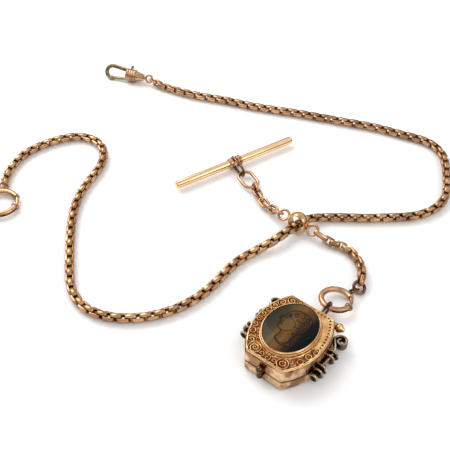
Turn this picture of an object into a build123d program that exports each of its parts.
# Pocket watch chain with a hinged locket fob, laid out loosely on a table.
# Millimetres. The origin is the middle of the locket's flat back, on the table,
# +Z is up, +X runs to the right and +Y away from the viewer.
from build123d import *
from math import acos, ceil, cos, degrees, radians, sin, sqrt
import os

os.makedirs("parts", exist_ok=True)

# The lay on the table: places are shares of one length, headings are degrees from +X

table_spread = 100.0
table_gap = 0.08
outward_shares = [
    (-0.651, 0.532), (-0.641, 0.567), (-0.622, 0.603), (-0.590, 0.633), (-0.545, 0.659),
    (-0.498, 0.670), (-0.458, 0.657), (-0.432, 0.622), (-0.426, 0.583), (-0.434, 0.540),
    (-0.452, 0.495), (-0.466, 0.449), (-0.473, 0.393), (-0.472, 0.340), (-0.467, 0.283),
    (-0.457, 0.205), (-0.444, 0.150), (-0.412, 0.104), (-0.367, 0.081), (-0.318, 0.075),
    (-0.265, 0.083), (-0.216, 0.104), (-0.170, 0.140), (-0.132, 0.186), (-0.095, 0.233),
]
lifted_shares = [
    (-0.055, 0.264, 0.10), (-0.010, 0.291, 1.0), (0.016, 0.315, 1.0), (0.042, 0.339, 1.0),
    (0.069, 0.359, 0.70), (0.100, 0.370, 0.06),
]
return_shares = [
    (0.140, 0.371), (0.200, 0.369), (0.260, 0.371), (0.310, 0.376), (0.355, 0.394),
    (0.386, 0.423), (0.404, 0.463), (0.415, 0.515), (0.421, 0.565), (0.416, 0.612),
    (0.392, 0.648), (0.344, 0.674), (0.272, 0.707), (0.178, 0.737), (0.065, 0.772),
    (-0.050, 0.803), (-0.125, 0.830), (-0.200, 0.852), (-0.252, 0.874),
]
fob_run_shares = [(0.130, 0.281, 0.15), (0.158, 0.254, 0.0), (0.169, 0.222, 0.04)]
cable_run_shares = [(-0.042, 0.443, 0.03), (-0.021, 0.402, 0.19)]
bar_centre_shares = (-0.0973, 0.5646)
end_ring_shares = (-0.650, 0.420)
swivel_tip_shares = (-0.349, 0.926)
bar_heading = 31.6
bar_loop_heading = -62.0
oval_heading = -60.5
swivel_heading = 161.0
end_link_heading = 148.0
locket_heading = -38.3

# Box links of the main chain and of the fob chain

strip_width = 0.90
strip_thickness = 0.36
link_length = 2.44
link_side_clearance = 0.19
link_end_slack = 0.22
link_corner = 0.22
long_link_length = 3.6
long_link_dip = 20.0
wire_gap = 0.12
first_link_roll = 65.0
last_link_roll = 60.0
span_names = ["chain_left_end", "chain_left_bend", "chain_left_run", "chain_middle",
              "chain_right_run", "chain_right_bend", "chain_right_end"]
span_shares = [0.0, 0.175, 0.315, 0.455, 0.575, 0.71, 0.86, 1.0]
fob_split_share = 0.5

# Slide that runs on the main chain, with its two soldered eyes

slide_radius = 2.55
slide_rim_radius = 2.30
slide_bore_radius = 2.0
slide_length = 2.1
slide_drop = 0.46
slide_turn = 8.0
slide_pitch = 10.0
eye_radius = 1.24
eye_wire = 0.30
eye_tilt = 30.0
solder_depth = 0.11

# Bar, its collars, loop, oval ring and oval cable links

bar_length = 33.4
bar_radius = 0.95
bar_end_chamfer = 0.24
bar_height = 1.62
collar_radius = 1.38
collar_width = 1.05
collar_groove = 0.16
collar_shoulder = 0.22
twin_collar_width = 1.35
bar_loop_place = -0.35
bar_loop_room = 1.0
bar_loop_clearance = 0.06
bar_loop_wire = 0.29
bar_loop_reach = 4.90
oval_wire = 0.40
oval_end_radius = 1.80
oval_length = 5.80
oval_far_height = 1.10
oval_dip = 30.0
ring_gap = 0.10
cable_wire = 0.33
cable_end_radius = 0.82
cable_length = 3.50
cable_slack = 0.10
cable_height = 1.20
cable_first_roll = 112.0
cable_last_roll = 38.0

# Bolt rings: the one that carries the fob and the one at the chain's end

fob_ring_radius = 3.125
fob_ring_tube = 0.625
fob_ring_tilt = 7.0
fob_ring_gap_start = -43.0
fob_ring_gap_end = 12.0
fob_ring_eye_heading = 36.0
fob_ring_eye_lean = 38.0
end_ring_radius = 4.0
end_ring_tube = 0.70
end_ring_gap_start = -19.0
end_ring_gap_end = 28.0
end_ring_eye_heading = 92.0
end_ring_eye_lean = -25.0
bolt_wall = 0.20
bolt_clearance = 0.04
bolt_tail = 30.0
bolt_tip = 4.0
bore_end_gap = 3.0
collar_rim = 0.20
collar_arc = 5.0
thumb_rim = 0.32
thumb_clearance = 0.05
thumb_neck = 0.30
thumb_slot = 0.40
thumb_arc = 4.0
thumb_start = 0.5
spring_arc = 14.0
spring_wall = 0.12
ring_eye_radius = 1.05
ring_eye_wire = 0.28
ring_eye_sink = 0.15
jump_radius = 1.28
jump_wire = 0.36
jump_height = 1.20
jump_lean_shares = (0.35, -0.37, 0.86)

# Swivel clip

swivel_height = 1.90
swivel_roll = 50.0
swivel_length = 5.0
swivel_tip_radius = 0.85
swivel_neck_radius = 1.45
swivel_rib_radius = 1.80
swivel_neck_share = 0.46
swivel_ribs = 4
swivel_rib_depth = 0.16
stem_radius = 0.34
stem_clearance = 0.05
stem_wall = 0.80
stem_head_radius = 0.60
stem_head_length = 0.50
stem_chamber_radius = 0.72
stem_chamber_length = 0.85
swivel_eye_radius = 0.95
swivel_eye_wire = 0.30
swivel_eye_stand = 0.35
end_link_wire = 0.30
end_link_end_radius = 0.80
end_link_length = 2.30
end_link_rise = 10.0
hook_wire = 0.54
hook_half_width = 1.64
hook_root = 1.12
hook_reach = 4.40
nose_length = 1.10
gate_wire = 0.36
nose_gap = 0.12
slot_width = 1.04
slot_back_share = 0.48
slot_front_share = 0.87
lever_thickness = 0.46
lever_offset = -0.22
lever_width = 0.62
pivot_share = 0.76
pivot_drop = 0.40
pivot_radius = 0.22
pivot_clearance = 0.04
pivot_length = 2.6
gate_root_share = 0.85
gate_root_drop = 1.20
knob_radius = 0.42
knob_stand = 0.50
return_spring_radius = 0.45
return_spring_length = 0.30

# Locket

locket_top = 8.5
locket_bottom = 8.4
locket_top_half = 5.0
locket_side_half = 7.7
locket_side_place = 0.34
locket_bottom_half = 4.2
base_height = 2.62
split_gap = 0.16
cover_height = 2.80
shell_wall = 0.70
base_chamfer = 0.45
cover_chamfer = 0.20
cover_roof = 0.70
border_inset = 0.22
border_thickness = 0.50
border_chamfer = 0.25
stone_half_width = 5.15
stone_half_length = 6.35
stone_shift = 0.50
boss_margin = 0.85
boss_rise = 0.60
boss_slope = 0.40
bezel_wall = 0.32
bezel_rise = 0.50
bezel_chamfer = 0.20
stone_seat = 0.45
stone_clearance = 0.03
stone_edge = 0.75
stone_dome = 0.50
stone_steps_shares = [(0.94, 0.45), (0.78, 0.78), (0.45, 1.0)]
rim_width = 1.10
rim_thickness = 0.55
window_thickness = 0.30
card_thickness = 0.20
fit_gap = 0.04
hinge_radius = 0.70
hinge_pin_radius = 0.28
hinge_clearance = 0.05
hinge_stand = 0.85
hinge_length = 10.4
hinge_room = 1.10
hinge_knuckles = 3
knuckle_gap = 0.08
hinge_web = 0.34
finial_length = 1.85
finial_radius = 1.00
finial_neck_radius = 0.60
finial_tip_radius = 0.30
bail_wire = 0.30
bail_end_radius = 1.08
bail_place = 1.0
bail_reach = 4.40
bail_near_height = 1.72
bail_far_height = 2.15
bail_seat = 0.24
thumb_ball_place = -0.30
cover_ball_radius = 0.78
cover_ball_height = 3.62
base_ball_radius = 0.66
base_ball_height = 1.70
ball_stand_share = 0.74
scroll_base = 0.95
scroll_height = 1.65
scroll_strip = 0.46
upper_curl_shares = (0.971, 0.806)
upper_curl_radius = 1.50
upper_curl_lead = 190.0
lower_curl_shares = (1.014, -0.359)
lower_curl_radius = 1.10
lower_curl_lead = 150.0
curl_inner_share = 0.26
curl_turns = 1.3
curl_steps = 13
scroll_run_shares = [(0.947, 0.535), (0.991, 0.329), (1.026, 0.082), (1.010, -0.135)]
band_shares = [0.329, -0.112]
band_width = 1.05
band_rim = 0.62

UP = Vector(0, 0, 1)
ACROSS = Vector(1, 0, 0)

# Values worked out from the sizes above

link_height = strip_width + 2 * link_side_clearance + 2 * strip_thickness
link_pitch = link_length - 2 * strip_thickness - link_end_slack
rolled_height = link_height * sin(radians(first_link_roll))
rolled_width = strip_width * cos(radians(first_link_roll))
chain_height = (rolled_height + rolled_width) / 2 + table_gap
slide_chain_height = slide_radius - slide_drop
cable_pitch = cable_length - 4 * cable_wire - cable_slack
cable_straight = cable_length - 2 * cable_end_radius - 2 * cable_wire
hinge_height = base_height + split_gap / 2
hinge_axis_reach = locket_top + hinge_stand


def heading(angle):
    """Level unit vector at an angle from +X."""
    return Vector(cos(radians(angle)), sin(radians(angle)), 0)


def across(vector, axis):
    """The part of a vector at right angles to an axis, at unit length."""
    return (vector - axis * vector.dot(axis)).normalized()


def flat_plane(origin, normal):
    """Plane with a given normal whose first axis is as near as can be to +X."""
    return Plane(origin=origin, x_dir=across(ACROSS, normal), z_dir=normal)


def spot(shares, height):
    """A place on the table, at a height above it."""
    return Vector(shares[0] * table_spread, shares[1] * table_spread, height)


def seen_from(place, plane):
    """A plane by another place's own axes, where both stand straight for a clean cut."""
    shift = plane.origin - place.origin
    axes = (place.x_dir, place.y_dir, place.z_dir)
    return Plane(origin=[shift.dot(axis) for axis in axes],
                 x_dir=[plane.x_dir.dot(axis) for axis in axes],
                 z_dir=[plane.z_dir.dot(axis) for axis in axes])


def turned(place, angle):
    """A place turned about its own third axis."""
    spoke = place.x_dir * cos(radians(angle)) + place.y_dir * sin(radians(angle))
    return Plane(origin=place.origin, x_dir=spoke, z_dir=place.z_dir)


def lathe_plane(place, angle=0.0):
    """Sketch plane whose first axis is the radius and second axis a place's third axis."""
    spoke = turned(place, angle)
    return Plane(origin=place.origin, x_dir=spoke.x_dir, z_dir=-spoke.y_dir)


def lathe(place, points):
    """Solid turned about a place's third axis from (radius, height) corners."""
    with BuildPart() as body:
        with BuildSketch(lathe_plane(place)):
            with BuildLine():
                Polyline(*points, close=True)
            make_face()
        revolve(axis=Axis(place.origin, place.z_dir))
    return body.part


def box_link(length):
    """Flat strip bent into a rectangular link with cut corners, lying along X."""
    with BuildPart() as link:
        with BuildSketch() as face:
            Rectangle(length, link_height)
            chamfer(face.vertices(), link_corner)
            Rectangle(length - 2 * strip_thickness, link_height - 2 * strip_thickness,
                      mode=Mode.SUBTRACT)
        extrude(amount=strip_width / 2, both=True)
    return link.part


def ring_arc(place, radius, wire, start=0.0, arc=360.0, bore=0.0):
    """Round wire ring about a place's third axis, or an arc of one, or a curved tube."""
    with BuildPart() as ring:
        with BuildSketch(lathe_plane(place, start)):
            with Locations((radius, 0)):
                Circle(wire)
                if bore > 0:
                    Circle(bore, mode=Mode.SUBTRACT)
        revolve(axis=Axis(place.origin, place.z_dir), revolution_arc=arc)
    return ring.part


def slab_arc(place, inner, outer, thickness, start, arc):
    """Arc of a flat washer about a place's third axis."""
    with BuildPart() as slab:
        with BuildSketch(lathe_plane(place, start)):
            with Locations(((inner + outer) / 2, 0)):
                Rectangle(outer - inner, thickness)
        revolve(axis=Axis(place.origin, place.z_dir), revolution_arc=arc)
    return slab.part


def oval_ring(place, straight, end_radius, wire):
    """Round wire bent into a long ring: two straight sides and two half circles."""
    with BuildPart() as ring:
        with BuildLine(place) as path:
            upper = Line((-straight / 2, end_radius), (straight / 2, end_radius))
            ThreePointArc((straight / 2, end_radius), (straight / 2 + end_radius, 0),
                          (straight / 2, -end_radius))
            Line((straight / 2, -end_radius), (-straight / 2, -end_radius))
            ThreePointArc((-straight / 2, -end_radius), (-straight / 2 - end_radius, 0),
                          (-straight / 2, end_radius))
        with BuildSketch(Plane(origin=upper @ 0, z_dir=upper % 0)):
            Circle(wire)
        sweep(path=path.wires()[0])
    return ring.part


def roll_side(along, roll):
    """Direction of a link's strip width when it is rolled about its length."""
    level = UP.cross(along).normalized()
    rise = along.cross(level)
    return rise * cos(radians(roll)) + level * sin(radians(roll))


def roll_of(side, along):
    """Roll of a link whose strip width runs along a given direction."""
    level = UP.cross(along).normalized()
    rise = along.cross(level)
    flat = across(side, along)
    turn = degrees(acos(max(-1.0, min(1.0, flat.dot(rise)))))
    return turn if flat.dot(level) >= 0 else -turn


def link_planes(line, count, first_roll, last_roll):
    """Planes of links at equal steps along a line, each a quarter turn from the last."""
    spare = (last_roll - first_roll - 90 * (count - 1) + 90) % 180 - 90
    planes = []
    for index in range(count):
        share = (index + 0.5) / count
        roll = first_roll + 90 * index + spare * index / max(count - 1, 1)
        along = line % share
        planes.append(Plane(origin=line @ share, x_dir=along, z_dir=roll_side(along, roll)))
    return planes


def copies(link, planes):
    """Separate copies of one link at a list of planes."""
    with BuildPart() as chain:
        with Locations(*[plane.location for plane in planes]):
            add(link)
    return chain.part


# Bolt ring pieces, for a ring that lies in a place's first two axes

def ring_tube(place, radius, tube, gap_start, gap_end):
    """Open tube of a bolt ring, bored for the bolt, with its slot and mouth collar."""
    travel = gap_end + bolt_tip - gap_start
    bore_start = gap_start - bolt_tail - spring_arc - travel - bore_end_gap
    bore_end = gap_end + bolt_tip + bore_end_gap
    slot_start = gap_start - travel - thumb_arc - bore_end_gap
    with BuildPart() as body:
        add(ring_arc(Plane.XY, radius, tube, gap_end, 360 - gap_end + gap_start))
        add(ring_arc(Plane.XY, radius, tube + collar_rim, gap_end, collar_arc))
        add(ring_arc(Plane.XY, radius, tube - bolt_wall, bore_start, bore_end - bore_start),
            mode=Mode.SUBTRACT)
        add(slab_arc(Plane.XY, radius, radius + tube + collar_rim, thumb_slot, slot_start,
                     gap_start - slot_start + thumb_start), mode=Mode.SUBTRACT)
    return body.part.moved(place.location)


def ring_bolt(place, radius, tube, gap_start, gap_end):
    """Curved bolt with its thumb ring, which slides on the outside of the tube."""
    wire = tube - bolt_wall - bolt_clearance
    arc = bolt_tail + gap_end - gap_start + bolt_tip
    with BuildPart() as bolt:
        add(ring_arc(Plane.XY, radius, tube + thumb_rim, gap_start + thumb_start, thumb_arc,
                     bore=tube + thumb_clearance))
        add(slab_arc(Plane.XY, radius + wire / 2, radius + tube + thumb_rim / 2, thumb_neck,
                     gap_start + thumb_start, thumb_arc))
        add(ring_arc(Plane.XY, radius, wire, gap_start - bolt_tail, arc))
    return bolt.part.moved(place.location)


def ring_spring(place, radius, tube, gap_start):
    """Pushed-together spring behind the bolt, as a thin curved sleeve."""
    wire = tube - bolt_wall - bolt_clearance
    sleeve = ring_arc(Plane.XY, radius, wire, gap_start - bolt_tail - spring_arc, spring_arc,
                      bore=wire - spring_wall)
    return sleeve.moved(place.location)


def ring_eye(place, radius, tube, angle, lean):
    """Small eye soldered to the outside of a bolt ring, and its plane."""
    out = turned(place, angle).x_dir
    reach = radius + tube + ring_eye_wire + ring_eye_radius - ring_eye_sink
    side = place.z_dir.cross(out)
    normal = place.z_dir * cos(radians(lean)) + side * sin(radians(lean))
    seat = Plane(origin=place.origin + out * reach, x_dir=out, z_dir=normal)
    with BuildPart() as eye:
        add(ring_arc(turned(seen_from(place, seat), 180), ring_eye_radius, ring_eye_wire))
        add(ring_arc(Plane.XY, radius, tube), mode=Mode.SUBTRACT)
    return eye.part.moved(place.location), seat


# Main chain: from the end ring's eye, through the slide, to the swivel's end link

end_ring_place = flat_plane(spot(end_ring_shares, chain_height), UP)
end_eye, end_eye_place = ring_eye(end_ring_place, end_ring_radius, end_ring_tube,
                                  end_ring_eye_heading, end_ring_eye_lean)
end_eye_point = end_eye_place.origin + end_eye_place.x_dir * ring_eye_radius
hook_overlap = link_pitch / 2 - link_length / 2 + strip_thickness + wire_gap
chain_start = end_eye_point - end_eye_place.x_dir * (hook_overlap + ring_eye_wire)

swivel_axis = heading(swivel_heading)
swivel_tip = spot(swivel_tip_shares, swivel_height)
swivel_eye_reach = swivel_eye_stand + swivel_eye_wire + swivel_eye_radius
swivel_eye_centre = swivel_tip - swivel_axis * swivel_eye_reach
end_link_level = heading(end_link_heading)
end_link_along = end_link_level * cos(radians(end_link_rise)) + UP * sin(radians(end_link_rise))
end_link_inset = swivel_eye_radius - swivel_eye_wire - end_link_wire - ring_gap
end_link_swivel_point = swivel_eye_centre - end_link_along * end_link_inset
end_link_chain_point = end_link_swivel_point - end_link_along * end_link_length
chain_end = end_link_chain_point + end_link_along * (hook_overlap + end_link_wire)

route_points = [chain_start, chain_start + end_eye_place.x_dir * link_pitch]
for shares in outward_shares:
    route_points.append(spot(shares, chain_height))
for shares in lifted_shares:
    lift = (slide_chain_height - chain_height) * shares[2]
    route_points.append(spot(shares, chain_height + lift))
for shares in return_shares:
    route_points.append(spot(shares, chain_height))
route_points.append(chain_end - end_link_along * link_pitch)
route_points.append(chain_end)
with BuildLine() as chain_route:
    Spline(*route_points)
chain_line = chain_route.edges()[0]
chain_count = ceil(chain_line.length / link_pitch)
chain_planes = link_planes(chain_line, chain_count, first_link_roll, last_link_roll)

main_link = box_link(link_length)
span_ends = [round(share * chain_count) for share in span_shares]
chain_joints = [chain_line @ (end / chain_count) for end in span_ends]
for name, start, end in zip(span_names, span_ends, span_ends[1:]):
    span = copies(main_link, chain_planes[start:end])
    span.label = name
    export_step(span, f"parts/{name}.step")

# Slide: a convex barrel that the main chain runs through, with an eye on either side

slide_point = spot(lifted_shares[3], slide_radius + table_gap)
chain_heading = (spot(lifted_shares[3], 0) - spot(lifted_shares[2], 0)).normalized()
slide_level = chain_heading.rotate(Axis.Z, slide_turn)
slide_side = slide_level.cross(UP)
slide_axis = slide_level * cos(radians(slide_pitch)) - UP * sin(radians(slide_pitch))
slide_place = Plane(origin=slide_point, x_dir=slide_side, z_dir=slide_axis)
slide_profile = [
    (0, -slide_length / 2), (slide_rim_radius, -slide_length / 2),
    (slide_radius, -slide_length / 6), (slide_radius, slide_length / 6),
    (slide_rim_radius, slide_length / 2), (0, slide_length / 2),
]
slide_blank = lathe(Plane.XY, slide_profile)
with BuildPart() as slide_body:
    add(slide_blank)
    with BuildSketch():
        Circle(slide_bore_radius)
    extrude(amount=slide_length, both=True, mode=Mode.SUBTRACT)
slide_barrel = slide_body.part.moved(slide_place.location)
slide_barrel.label = "slide_barrel"
export_step(slide_barrel, "parts/slide_barrel.step")

eye_normal = UP * cos(radians(eye_tilt)) - slide_level * sin(radians(eye_tilt))
eye_reach = slide_radius + eye_radius + eye_wire - solder_depth
lower_eye_place = Plane(origin=slide_point + slide_side * eye_reach, x_dir=slide_side * -1,
                        z_dir=eye_normal)
upper_eye_place = Plane(origin=slide_point - slide_side * eye_reach, x_dir=slide_side,
                        z_dir=eye_normal)


def slide_eye(eye_place):
    """Eye of the slide, cut to fit the barrel's side."""
    with BuildPart() as eye:
        add(ring_arc(seen_from(slide_place, eye_place), eye_radius, eye_wire))
        add(slide_blank, mode=Mode.SUBTRACT)
    return eye.part.moved(slide_place.location)


slide_eye_lower = slide_eye(lower_eye_place)
slide_eye_lower.label = "slide_eye_lower"
export_step(slide_eye_lower, "parts/slide_eye_lower.step")

slide_eye_upper = slide_eye(upper_eye_place)
slide_eye_upper.label = "slide_eye_upper"
export_step(slide_eye_upper, "parts/slide_eye_upper.step")

# Locket: a shallow box with a hinged cover, its length along the second axis of its place

locket_place = Plane(origin=(0, 0, 0), x_dir=heading(locket_heading), z_dir=UP)
locket_across = locket_place.x_dir
locket_along = locket_place.y_dir


def locket_point(sideways, along, height):
    """A place by the locket's own axes."""
    return locket_across * sideways + locket_along * along + UP * height


def locket_outline(height, inset):
    """Outline of the locket, drawn in by an inset, at a height."""
    with BuildSketch(locket_place.offset(height)) as outline:
        with BuildLine():
            Line((-locket_top_half, locket_top), (locket_top_half, locket_top))
            ThreePointArc((locket_top_half, locket_top), (locket_side_half, -locket_side_place),
                          (locket_bottom_half, -locket_bottom))
            Line((locket_bottom_half, -locket_bottom), (-locket_bottom_half, -locket_bottom))
            ThreePointArc((-locket_bottom_half, -locket_bottom),
                          (-locket_side_half, -locket_side_place),
                          (-locket_top_half, locket_top))
        make_face()
        if inset > 0:
            offset(amount=-inset, kind=Kind.INTERSECTION, mode=Mode.REPLACE)
    return outline.sketch


def stone_oval(height, half_width, half_length):
    """Oval about the stone's middle at a height."""
    with BuildSketch(locket_place.offset(height)) as oval:
        with Locations((0, stone_shift)):
            Ellipse(half_width, half_length)
    return oval.sketch


hinge_halves = [(-hinge_length / 2, bail_place - hinge_room / 2),
                (bail_place + hinge_room / 2, hinge_length / 2)]
knuckle_bore = hinge_pin_radius + hinge_clearance


def hinge_leaf(turn, side):
    """Every other knuckle with its web, which lies under the base's and over the cover's."""
    with BuildPart() as leaf:
        for start, end in hinge_halves:
            length = (end - start - knuckle_gap * (hinge_knuckles - 1)) / hinge_knuckles
            for index in range(turn, hinge_knuckles, 2):
                first = start + index * (length + knuckle_gap)
                seat = Plane(origin=locket_point(first, hinge_axis_reach, hinge_height),
                             x_dir=locket_along, z_dir=locket_across)
                with BuildSketch(seat):
                    Circle(hinge_radius)
                    with Locations((-hinge_stand / 2 - shell_wall / 4,
                                    side * (hinge_radius - hinge_web / 2))):
                        Rectangle(hinge_stand + shell_wall / 2, hinge_web)
                    Circle(knuckle_bore, mode=Mode.SUBTRACT)
                extrude(amount=length, dir=locket_across)
    return leaf.part


with BuildPart() as base_blank:
    add(locket_outline(0, 0))
    extrude(amount=base_height, dir=UP)
    base_foot = base_blank.faces().sort_by(Axis.Z)[0]
    chamfer(base_foot.edges(), base_chamfer)

with BuildPart() as locket_base:
    add(base_blank.part)
    add(hinge_leaf(0, -1))
    add(locket_outline(shell_wall, shell_wall))
    extrude(amount=base_height, dir=UP, mode=Mode.SUBTRACT)
locket_base.part.label = "locket_base"
export_step(locket_base.part, "parts/locket_base.step")

cover_foot = base_height + split_gap
cover_top = cover_foot + cover_height
with BuildPart() as locket_cover:
    add(locket_outline(cover_foot, 0))
    extrude(amount=cover_height, dir=UP)
    cover_face = locket_cover.faces().sort_by(Axis.Z)[-1]
    chamfer(cover_face.edges(), cover_chamfer)
    add(hinge_leaf(1, 1))
    add(locket_outline(cover_foot, shell_wall))
    extrude(amount=cover_height - cover_roof, dir=UP, mode=Mode.SUBTRACT)
locket_cover.part.label = "locket_cover"
export_step(locket_cover.part, "parts/locket_cover.step")

with BuildPart() as locket_hinge_pin:
    for start, end in hinge_halves:
        with BuildSketch(Plane(origin=locket_point(start, hinge_axis_reach, hinge_height),
                               x_dir=locket_along, z_dir=locket_across)):
            Circle(hinge_pin_radius)
        extrude(amount=end - start)
locket_hinge_pin.part.label = "locket_hinge_pin"
export_step(locket_hinge_pin.part, "parts/locket_hinge_pin.step")

finial_profile = [
    (0, 0), (finial_neck_radius, 0), (finial_radius, finial_length / 4),
    (finial_radius, finial_length / 2), (finial_tip_radius, finial_length), (0, finial_length),
]
with BuildPart() as locket_finials:
    for sign in (-1, 1):
        seat = Plane(origin=locket_point(sign * hinge_length / 2, hinge_axis_reach, hinge_height),
                     x_dir=locket_along, z_dir=locket_across * sign)
        add(lathe(seat, finial_profile))
locket_finials.part.label = "locket_finials"
export_step(locket_finials.part, "parts/locket_finials.step")

# Locket front: the border plate with its boss, the bezel and the stone

boss_foot = cover_top + border_thickness
boss_top = boss_foot + boss_rise
boss_half_width = stone_half_width + boss_margin
boss_half_length = stone_half_length + boss_margin
stone_open_width = stone_half_width + stone_clearance
stone_open_length = stone_half_length + stone_clearance
with BuildPart() as locket_border:
    add(locket_outline(cover_top, border_inset))
    extrude(amount=border_thickness, dir=UP)
    border_face = locket_border.faces().sort_by(Axis.Z)[-1]
    chamfer(border_face.edges(), border_chamfer)
    add(stone_oval(boss_foot, boss_half_width, boss_half_length))
    add(stone_oval(boss_top, boss_half_width - boss_slope, boss_half_length - boss_slope))
    loft(ruled=True)
    add(stone_oval(boss_top - stone_seat, stone_open_width, stone_open_length))
    extrude(amount=stone_seat, dir=UP, mode=Mode.SUBTRACT)
locket_border.part.label = "locket_border"
export_step(locket_border.part, "parts/locket_border.step")

with BuildPart() as locket_bezel:
    add(stone_oval(boss_top, stone_open_width + bezel_wall, stone_open_length + bezel_wall))
    extrude(amount=bezel_rise, dir=UP)
    bezel_face = locket_bezel.faces().sort_by(Axis.Z)[-1]
    chamfer(bezel_face.edges(), bezel_chamfer)
    add(stone_oval(boss_top, stone_open_width, stone_open_length))
    extrude(amount=bezel_rise, dir=UP, mode=Mode.SUBTRACT)
locket_bezel.part.label = "locket_bezel"
export_step(locket_bezel.part, "parts/locket_bezel.step")

stone_foot = boss_top - stone_seat
stone_girdle = stone_foot + stone_edge
with BuildPart() as locket_stone:
    add(stone_oval(stone_foot, stone_half_width, stone_half_length))
    extrude(amount=stone_edge, dir=UP)
    add(stone_oval(stone_girdle, stone_half_width, stone_half_length))
    for size_share, rise_share in stone_steps_shares:
        add(stone_oval(stone_girdle + stone_dome * rise_share, stone_half_width * size_share,
                       stone_half_length * size_share))
    loft(ruled=True)
locket_stone.part.label = "locket_stone"
export_step(locket_stone.part, "parts/locket_stone.step")

# Locket inside: the card, its window and the frame that holds both down

with BuildPart() as picture_card:
    add(locket_outline(shell_wall, shell_wall + fit_gap))
    extrude(amount=card_thickness, dir=UP)
picture_card.part.label = "picture_card"
export_step(picture_card.part, "parts/picture_card.step")

window_foot = shell_wall + card_thickness
with BuildPart() as picture_glass:
    add(locket_outline(window_foot, shell_wall + fit_gap))
    extrude(amount=window_thickness, dir=UP)
picture_glass.part.label = "picture_glass"
export_step(picture_glass.part, "parts/picture_glass.step")

frame_foot = window_foot + window_thickness
with BuildPart() as picture_frame:
    add(locket_outline(frame_foot, shell_wall + fit_gap))
    extrude(amount=rim_thickness, dir=UP)
    add(locket_outline(frame_foot, shell_wall + rim_width))
    extrude(amount=rim_thickness, dir=UP, mode=Mode.SUBTRACT)
picture_frame.part.label = "picture_frame"
export_step(picture_frame.part, "parts/picture_frame.step")

# Locket fittings: the bail, the two thumb balls and the side scrolls

bail_near_reach = locket_top + bail_end_radius + bail_wire - bail_seat
bail_near = locket_point(bail_place, bail_near_reach, bail_near_height)
bail_far = locket_point(bail_place, locket_top + bail_reach, bail_far_height)
bail_along = (bail_far - bail_near).normalized()
bail_plane = Plane(origin=(bail_near + bail_far) * 0.5, x_dir=bail_along,
                   z_dir=locket_across)
with BuildPart() as locket_bail:
    add(oval_ring(bail_plane, (bail_far - bail_near).length, bail_end_radius, bail_wire))
    add(base_blank.part, mode=Mode.SUBTRACT)
locket_bail.part.label = "locket_bail"
export_step(locket_bail.part, "parts/locket_bail.step")


def thumb_ball(radius, height):
    """Ball soldered to the locket's lower edge, cut flat where it meets the wall."""
    centre = locket_point(thumb_ball_place, -locket_bottom - radius * ball_stand_share, height)
    wall = Plane(origin=locket_point(0, -locket_bottom, height), x_dir=locket_across,
                 z_dir=locket_along)
    with BuildPart() as ball:
        with Locations(Plane(origin=centre, x_dir=locket_across, z_dir=locket_along).location):
            Sphere(radius)
        split(bisect_by=wall, keep=Keep.BOTTOM)
    return ball.part


cover_thumb_ball = thumb_ball(cover_ball_radius, cover_ball_height)
cover_thumb_ball.label = "cover_thumb_ball"
export_step(cover_thumb_ball, "parts/cover_thumb_ball.step")

base_thumb_ball = thumb_ball(base_ball_radius, base_ball_height)
base_thumb_ball.label = "base_thumb_ball"
export_step(base_thumb_ball, "parts/base_thumb_ball.step")


def curl_points(shares, radius, lead, sense):
    """Points along a curl, from its outer end inwards, in the locket's own plane."""
    points = []
    for step in range(curl_steps):
        part_way = step / (curl_steps - 1)
        angle = radians(lead + sense * 360 * curl_turns * part_way)
        reach = radius * (1 - (1 - curl_inner_share) * part_way)
        points.append((shares[0] * locket_top + reach * cos(angle),
                       shares[1] * locket_top + reach * sin(angle)))
    return points


def side_scroll(sign):
    """Ribbon with a curl at either end and two bands that hold it to the wall."""
    ribbon = curl_points(upper_curl_shares, upper_curl_radius, upper_curl_lead, -1)
    ribbon.reverse()
    for shares in scroll_run_shares:
        ribbon.append((shares[0] * locket_top, shares[1] * locket_top))
    ribbon += curl_points(lower_curl_shares, lower_curl_radius, lower_curl_lead, 1)
    ribbon = [(sign * point[0], point[1]) for point in ribbon]
    with BuildPart() as scroll:
        with BuildSketch(locket_place.offset(scroll_base)):
            with BuildLine() as run:
                Spline(*ribbon)
            trace(run.line, line_width=scroll_strip)
            for share in band_shares:
                with Locations((sign * (locket_side_half + band_rim / 2), share * locket_top)):
                    Rectangle(band_rim * 3, band_width)
        extrude(amount=scroll_height, dir=UP)
        add(base_blank.part, mode=Mode.SUBTRACT)
    return scroll.part


scroll_right = side_scroll(1)
scroll_right.label = "scroll_right"
export_step(scroll_right, "parts/scroll_right.step")

scroll_left = side_scroll(-1)
scroll_left.label = "scroll_left"
export_step(scroll_left, "parts/scroll_left.step")

# Fob bolt ring: it hangs in the bail's far end and tilts down towards its own eye

fob_ring_normal = UP * cos(radians(fob_ring_tilt)) + locket_along * sin(radians(fob_ring_tilt))
fob_ring_out = locket_along * cos(radians(fob_ring_tilt)) - UP * sin(radians(fob_ring_tilt))
fob_ring_place = flat_plane(bail_far + fob_ring_out * fob_ring_radius, fob_ring_normal)
fob_tube = ring_tube(fob_ring_place, fob_ring_radius, fob_ring_tube, fob_ring_gap_start,
                     fob_ring_gap_end)
fob_tube.label = "fob_ring_tube"
export_step(fob_tube, "parts/fob_ring_tube.step")

fob_bolt = ring_bolt(fob_ring_place, fob_ring_radius, fob_ring_tube, fob_ring_gap_start,
                     fob_ring_gap_end)
fob_bolt.label = "fob_ring_bolt"
export_step(fob_bolt, "parts/fob_ring_bolt.step")

fob_spring = ring_spring(fob_ring_place, fob_ring_radius, fob_ring_tube, fob_ring_gap_start)
fob_spring.label = "fob_ring_spring"
export_step(fob_spring, "parts/fob_ring_spring.step")

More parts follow.
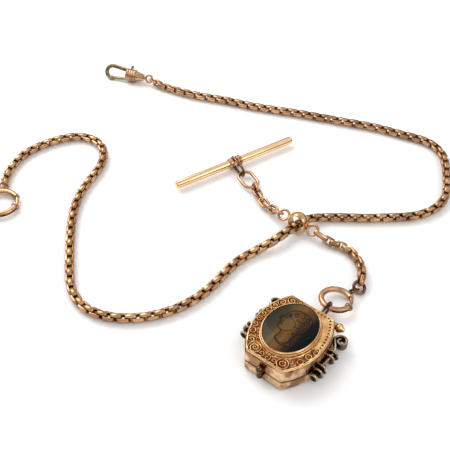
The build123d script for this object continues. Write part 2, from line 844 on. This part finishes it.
fob_eye, fob_eye_place = ring_eye(fob_ring_place, fob_ring_radius, fob_ring_tube,
                                  fob_ring_eye_heading, fob_ring_eye_lean)
fob_eye.label = "fob_ring_eye"
export_step(fob_eye, "parts/fob_ring_eye.step")

# End bolt ring

end_tube = ring_tube(end_ring_place, end_ring_radius, end_ring_tube, end_ring_gap_start,
                     end_ring_gap_end)
end_tube.label = "end_ring_tube"
export_step(end_tube, "parts/end_ring_tube.step")

end_bolt = ring_bolt(end_ring_place, end_ring_radius, end_ring_tube, end_ring_gap_start,
                     end_ring_gap_end)
end_bolt.label = "end_ring_bolt"
export_step(end_bolt, "parts/end_ring_bolt.step")

end_spring = ring_spring(end_ring_place, end_ring_radius, end_ring_tube, end_ring_gap_start)
end_spring.label = "end_ring_spring"
export_step(end_spring, "parts/end_ring_spring.step")

end_eye.label = "end_ring_eye"
export_step(end_eye, "parts/end_ring_eye.step")

# Jump ring, long link and the short chain that carries the fob

jump_lean = Vector(*jump_lean_shares).normalized()
jump_span = ring_eye_radius + jump_radius - ring_eye_wire - jump_wire - ring_gap
jump_drop = jump_height - fob_eye_place.origin.Z
jump_level = sqrt(jump_span * jump_span - jump_drop * jump_drop)
jump_centre = fob_eye_place.origin + heading(fob_ring_eye_heading) * jump_level + UP * jump_drop
jump_place = flat_plane(jump_centre, jump_lean)
fob_jump_ring = ring_arc(jump_place, jump_radius, jump_wire)
fob_jump_ring.label = "fob_jump_ring"
export_step(fob_jump_ring, "parts/fob_jump_ring.step")

fob_first = spot(fob_run_shares[0], slide_radius)
long_level = (fob_first - lower_eye_place.origin).normalized()
long_along = long_level * cos(radians(long_link_dip)) - UP * sin(radians(long_link_dip))
long_radial = across(long_along, eye_normal)
long_point = lower_eye_place.origin + long_radial * eye_radius
long_wire_along = eye_normal.cross(long_radial)
long_reach = long_link_length / 2 - strip_thickness - wire_gap - eye_wire
long_centre = long_point + long_along * long_reach
long_place = Plane(origin=long_centre, x_dir=long_along,
                   z_dir=across(long_wire_along, long_along))
fob_long_link = copies(box_link(long_link_length), [long_place])
fob_long_link.label = "fob_long_link"
export_step(fob_long_link, "parts/fob_long_link.step")

long_half_pitch = long_link_length / 2 - strip_thickness - link_end_slack / 2
fob_start = long_centre + long_along * long_half_pitch
fob_last = spot(fob_run_shares[-1], chain_height)
jump_radial = across(fob_last - jump_centre, jump_lean)
jump_point = jump_centre + jump_radial * jump_radius
jump_wire_along = jump_lean.cross(jump_radial)
fob_end = jump_point - jump_radial * (hook_overlap + jump_wire)
fob_points = [fob_start, fob_start + long_along * (link_pitch / 2)]
for shares in fob_run_shares:
    lift = (fob_start.Z - chain_height) * shares[2]
    fob_points.append(spot(shares, chain_height + lift))
fob_points.append(fob_end + jump_radial * link_pitch)
fob_points.append(fob_end)
with BuildLine() as fob_route:
    Spline(*fob_points)
fob_line = fob_route.edges()[0]
fob_count = ceil(fob_line.length / link_pitch)
fob_first_roll = roll_of(long_place.z_dir, long_along) + 90
fob_last_roll = roll_of(jump_wire_along, jump_radial * -1)
fob_planes = link_planes(fob_line, fob_count, fob_first_roll, fob_last_roll)
fob_split = round(fob_count * fob_split_share)

fob_chain_upper = copies(main_link, fob_planes[:fob_split])
fob_chain_upper.label = "fob_chain_upper"
export_step(fob_chain_upper, "parts/fob_chain_upper.step")

fob_chain_lower = copies(main_link, fob_planes[fob_split:])
fob_chain_lower.label = "fob_chain_lower"
export_step(fob_chain_lower, "parts/fob_chain_lower.step")

# Bar with its collars, and the loop that it turns in

bar_centre = spot(bar_centre_shares, bar_height)
bar_axis = heading(bar_heading)
bar_place = Plane(origin=bar_centre, x_dir=UP, z_dir=bar_axis)
bar_half = bar_length / 2
bar_profile = [
    (0, -bar_half), (bar_radius - bar_end_chamfer, -bar_half),
    (bar_radius, -bar_half + bar_end_chamfer), (bar_radius, bar_half - bar_end_chamfer),
    (bar_radius - bar_end_chamfer, bar_half), (0, bar_half),
]
t_bar_rod = lathe(bar_place, bar_profile)
t_bar_rod.label = "t_bar_rod"
export_step(t_bar_rod, "parts/t_bar_rod.step")

left_end = bar_loop_place - bar_loop_room / 2
left_collar_profile = [
    (bar_radius, left_end - collar_width),
    (collar_radius - collar_shoulder, left_end - collar_width),
    (collar_radius, left_end - collar_width + collar_shoulder),
    (collar_radius, left_end - collar_shoulder),
    (collar_radius - collar_shoulder, left_end), (bar_radius, left_end),
]
t_bar_collar_left = lathe(bar_place, left_collar_profile)
t_bar_collar_left.label = "t_bar_collar_left"
export_step(t_bar_collar_left, "parts/t_bar_collar_left.step")

right_start = bar_loop_place + bar_loop_room / 2
right_middle = right_start + twin_collar_width / 2
right_end = right_start + twin_collar_width
right_collar_profile = [
    (bar_radius, right_start), (collar_radius - collar_shoulder, right_start),
    (collar_radius, right_start + collar_shoulder), (collar_radius, right_middle - collar_groove),
    (collar_radius - collar_groove, right_middle), (collar_radius, right_middle + collar_groove),
    (collar_radius, right_end - collar_shoulder), (collar_radius - collar_shoulder, right_end),
    (bar_radius, right_end),
]
t_bar_collar_right = lathe(bar_place, right_collar_profile)
t_bar_collar_right.label = "t_bar_collar_right"
export_step(t_bar_collar_right, "parts/t_bar_collar_right.step")

loop_near = bar_centre + bar_axis * bar_loop_place
loop_along = heading(bar_loop_heading)
loop_end_radius = bar_radius + bar_loop_clearance + bar_loop_wire
loop_far = loop_near + loop_along * (bar_loop_reach - loop_end_radius)
loop_plane = Plane(origin=(loop_near + loop_far) * 0.5, x_dir=loop_along,
                   z_dir=loop_along.cross(UP))
t_bar_loop = oval_ring(loop_plane, (loop_far - loop_near).length, loop_end_radius, bar_loop_wire)
t_bar_loop.label = "t_bar_loop"
export_step(t_bar_loop, "parts/t_bar_loop.step")

# Oval ring and the oval cable links that lead to the slide

oval_level = heading(oval_heading)
oval_inset = loop_end_radius - bar_loop_wire - oval_wire - ring_gap
oval_near = loop_far + oval_level * (oval_inset * cos(radians(oval_dip)))
oval_near = oval_near - UP * (oval_inset * sin(radians(oval_dip)))
oval_fall = oval_near.Z - oval_far_height
oval_run = sqrt(oval_length * oval_length - oval_fall * oval_fall)
oval_far = oval_near + oval_level * oval_run - UP * oval_fall
oval_along = (oval_far - oval_near).normalized()
oval_side = UP.cross(oval_along).normalized()
oval_plane = Plane(origin=(oval_near + oval_far) * 0.5, x_dir=oval_along,
                   z_dir=oval_along.cross(oval_side))
t_bar_oval_ring = oval_ring(oval_plane, oval_length - 2 * oval_end_radius, oval_end_radius,
                            oval_wire)
t_bar_oval_ring.label = "t_bar_oval_ring"
export_step(t_bar_oval_ring, "parts/t_bar_oval_ring.step")

upper_eye_point = upper_eye_place.origin - slide_side * eye_radius
cable_inner = cable_length / 2 - 2 * cable_wire - ring_gap
cable_first = spot(cable_run_shares[0], cable_height)
cable_last = spot(cable_run_shares[-1], cable_height)
cable_first_along = (cable_first - oval_far).normalized()
cable_last_along = (upper_eye_point - cable_last).normalized()
cable_start = oval_far - cable_first_along * (cable_pitch / 2 - cable_inner + oval_wire)
cable_end = upper_eye_point + cable_last_along * (cable_pitch / 2 - cable_inner + eye_wire)
cable_points = [cable_start, oval_far + cable_first_along * cable_inner]
for shares in cable_run_shares:
    lift = (upper_eye_point.Z - cable_height) * shares[2]
    cable_points.append(spot(shares, cable_height + lift))
cable_points.append(upper_eye_point - cable_last_along * cable_inner)
cable_points.append(cable_end)
with BuildLine() as cable_route:
    Spline(*cable_points)
cable_line = cable_route.edges()[0]
cable_count = ceil(cable_line.length / cable_pitch)
cable_planes = link_planes(cable_line, cable_count, cable_first_roll, cable_last_roll)
cable_link = oval_ring(Plane.XY, cable_straight, cable_end_radius, cable_wire)
cable_split = cable_count // 2

t_chain_far = copies(cable_link, cable_planes[:cable_split])
t_chain_far.label = "t_chain_far"
export_step(t_chain_far, "parts/t_chain_far.step")

t_chain_near = copies(cable_link, cable_planes[cable_split:])
t_chain_near.label = "t_chain_near"
export_step(t_chain_near, "parts/t_chain_near.step")

# Swivel clip: end link, eye on a stem, ribbed cone, hook and sprung gate

last_hole = roll_side(end_link_along, last_link_roll)
end_link_plane = Plane(origin=(end_link_swivel_point + end_link_chain_point) * 0.5,
                       x_dir=end_link_along, z_dir=end_link_along.cross(last_hole))
swivel_end_link = oval_ring(end_link_plane, end_link_length - 2 * end_link_end_radius,
                            end_link_end_radius, end_link_wire)
swivel_end_link.label = "swivel_end_link"
export_step(swivel_end_link, "parts/swivel_end_link.step")

swivel_away = swivel_axis.cross(UP)
swivel_up = swivel_away * cos(radians(swivel_roll)) + UP * sin(radians(swivel_roll))
swivel_plane = Plane(origin=swivel_tip, x_dir=swivel_axis, z_dir=swivel_axis.cross(swivel_up))
swivel_side = swivel_plane.z_dir
turning_place = Plane(origin=swivel_tip, x_dir=swivel_up, z_dir=swivel_axis)
swivel_eye_normal = across(last_hole, swivel_axis)
swivel_eye_place = Plane(origin=swivel_eye_centre, x_dir=swivel_axis, z_dir=swivel_eye_normal)
stem_start = -swivel_eye_stand - swivel_eye_wire
head_start = stem_wall + stem_clearance
head_end = head_start + stem_head_length
stem_profile = [
    (0, stem_start), (stem_radius, stem_start), (stem_radius, head_start),
    (stem_head_radius, head_start), (stem_head_radius, head_end), (0, head_end),
]
with BuildPart() as swivel_eye:
    add(ring_arc(swivel_eye_place, swivel_eye_radius, swivel_eye_wire))
    add(lathe(turning_place, stem_profile))
swivel_eye.part.label = "swivel_eye"
export_step(swivel_eye.part, "parts/swivel_eye.step")


def swivel_spot(along, sideways):
    """A place in the hook's own plane."""
    return swivel_tip + swivel_axis * along + swivel_up * sideways


neck_place = swivel_length * swivel_neck_share
rib_pitch = (swivel_length - neck_place) / swivel_ribs
rib_low = swivel_rib_radius - swivel_rib_depth
cone_profile = [(0, 0), (swivel_tip_radius, 0), (swivel_neck_radius, neck_place)]
for rib in range(swivel_ribs):
    rib_start = neck_place + rib * rib_pitch
    cone_profile.append((rib_low, rib_start))
    cone_profile.append((swivel_rib_radius, rib_start + rib_pitch / 3))
    cone_profile.append((swivel_rib_radius, rib_start + rib_pitch * 2 / 3))
cone_profile.append((rib_low, swivel_length))
cone_profile.append((0, swivel_length))
slot_back = swivel_length * slot_back_share
slot_front = swivel_length * slot_front_share
slot_depth = 2 * swivel_rib_radius
mouth = swivel_length + slot_width
pivot_along = swivel_length * pivot_share
pivot_point = swivel_spot(pivot_along, -pivot_drop)
pivot_plane = Plane(origin=pivot_point, x_dir=swivel_axis, z_dir=swivel_side)
with BuildPart() as swivel_cone:
    add(lathe(turning_place, cone_profile))
    with BuildSketch(turning_place):
        Circle(stem_radius + stem_clearance)
    extrude(amount=stem_wall, mode=Mode.SUBTRACT)
    with BuildSketch(turning_place.offset(stem_wall)):
        Circle(stem_chamber_radius)
    extrude(amount=stem_chamber_length, mode=Mode.SUBTRACT)
    with BuildSketch(swivel_plane):
        with Locations(((slot_back + slot_front) / 2, 0)):
            Rectangle(slot_front - slot_back, 2 * slot_depth)
        with Locations(((slot_back + mouth) / 2, -slot_depth / 2)):
            Rectangle(mouth - slot_back, slot_depth)
    extrude(amount=slot_width / 2, both=True, mode=Mode.SUBTRACT)
    with BuildSketch(pivot_plane):
        Circle(pivot_radius)
    extrude(amount=pivot_length / 2, both=True, mode=Mode.SUBTRACT)
swivel_cone.part.label = "swivel_cone"
export_step(swivel_cone.part, "parts/swivel_cone.step")

with BuildPart() as swivel_gate_pin:
    with BuildSketch(pivot_plane):
        Circle(pivot_radius)
    extrude(amount=pivot_length / 2, both=True)
swivel_gate_pin.part.label = "swivel_gate_pin"
export_step(swivel_gate_pin.part, "parts/swivel_gate_pin.step")

with BuildPart() as swivel_gate_spring:
    with BuildSketch(pivot_plane.offset(lever_offset + lever_thickness / 2 + pivot_clearance)):
        Circle(return_spring_radius)
        Circle(pivot_radius, mode=Mode.SUBTRACT)
    extrude(amount=return_spring_length)
swivel_gate_spring.part.label = "swivel_gate_spring"
export_step(swivel_gate_spring.part, "parts/swivel_gate_spring.step")

bend_along = swivel_length + hook_reach
gate_root = swivel_length * gate_root_share
nose_reach = bend_along - nose_length / 2 - pivot_along
nose_side = hook_half_width - pivot_drop
gate_radius = sqrt(nose_reach * nose_reach + nose_side * nose_side)
with BuildPart() as nose_room:
    with BuildSketch(pivot_plane):
        Circle(gate_radius + nose_gap)
    extrude(amount=hook_half_width, both=True)
    with BuildSketch(swivel_plane):
        with Locations((bend_along, -hook_half_width)):
            Rectangle(nose_length * 4, hook_half_width)
    extrude(amount=hook_half_width, both=True, mode=Mode.INTERSECT)

with BuildPart() as swivel_hook:
    with BuildLine(swivel_plane) as hook_path:
        shank = Line((swivel_length - hook_wire, hook_root), (bend_along, hook_half_width))
        TangentArc(shank @ 1, swivel_spot(bend_along, -hook_half_width), tangent=shank % 1)
    with BuildSketch(Plane(origin=shank @ 0, z_dir=shank % 0)):
        Circle(hook_wire)
    sweep(path=hook_path.wires()[0])
    split(bisect_by=turning_place.offset(swivel_length), keep=Keep.TOP)
    with BuildSketch(Plane(origin=swivel_spot(bend_along, -hook_half_width),
                           x_dir=swivel_up, z_dir=swivel_axis)):
        Circle(hook_wire)
    extrude(amount=-nose_length)
    add(nose_room.part, mode=Mode.SUBTRACT)
swivel_hook.part.label = "swivel_hook"
export_step(swivel_hook.part, "parts/swivel_hook.step")

lever_half = lever_width / 2
lever_top = swivel_rib_radius + knob_stand
lever_corners = [
    (pivot_along - lever_half, lever_top), (pivot_along + lever_half, lever_top),
    (pivot_along + lever_half, -pivot_drop), (gate_root + lever_half, -gate_root_drop),
    (gate_root, -gate_root_drop - gate_wire / 2), (pivot_along - lever_half, -pivot_drop),
]
gate_start = swivel_spot(gate_root, -gate_root_drop)
gate_reach = swivel_spot(bend_along, -hook_half_width) - gate_start
with BuildPart() as swivel_gate:
    with BuildSketch(Plane(origin=gate_start, z_dir=gate_reach)):
        Circle(gate_wire)
    extrude(amount=gate_reach.length)
    with BuildSketch(pivot_plane):
        Circle(gate_radius)
    extrude(amount=hook_half_width, both=True, mode=Mode.INTERSECT)
    with BuildSketch(swivel_plane.offset(lever_offset)):
        with BuildLine():
            Polyline(*lever_corners, close=True)
        make_face()
        with Locations((pivot_along, -pivot_drop)):
            Circle(return_spring_radius)
            Circle(pivot_radius + pivot_clearance, mode=Mode.SUBTRACT)
    extrude(amount=lever_thickness / 2, both=True)
    with Locations(Plane(origin=swivel_spot(pivot_along, lever_top) + swivel_side * lever_offset,
                         x_dir=swivel_axis, z_dir=swivel_up).location):
        Sphere(knob_radius)
swivel_gate.part.label = "swivel_gate"
export_step(swivel_gate.part, "parts/swivel_gate.step")
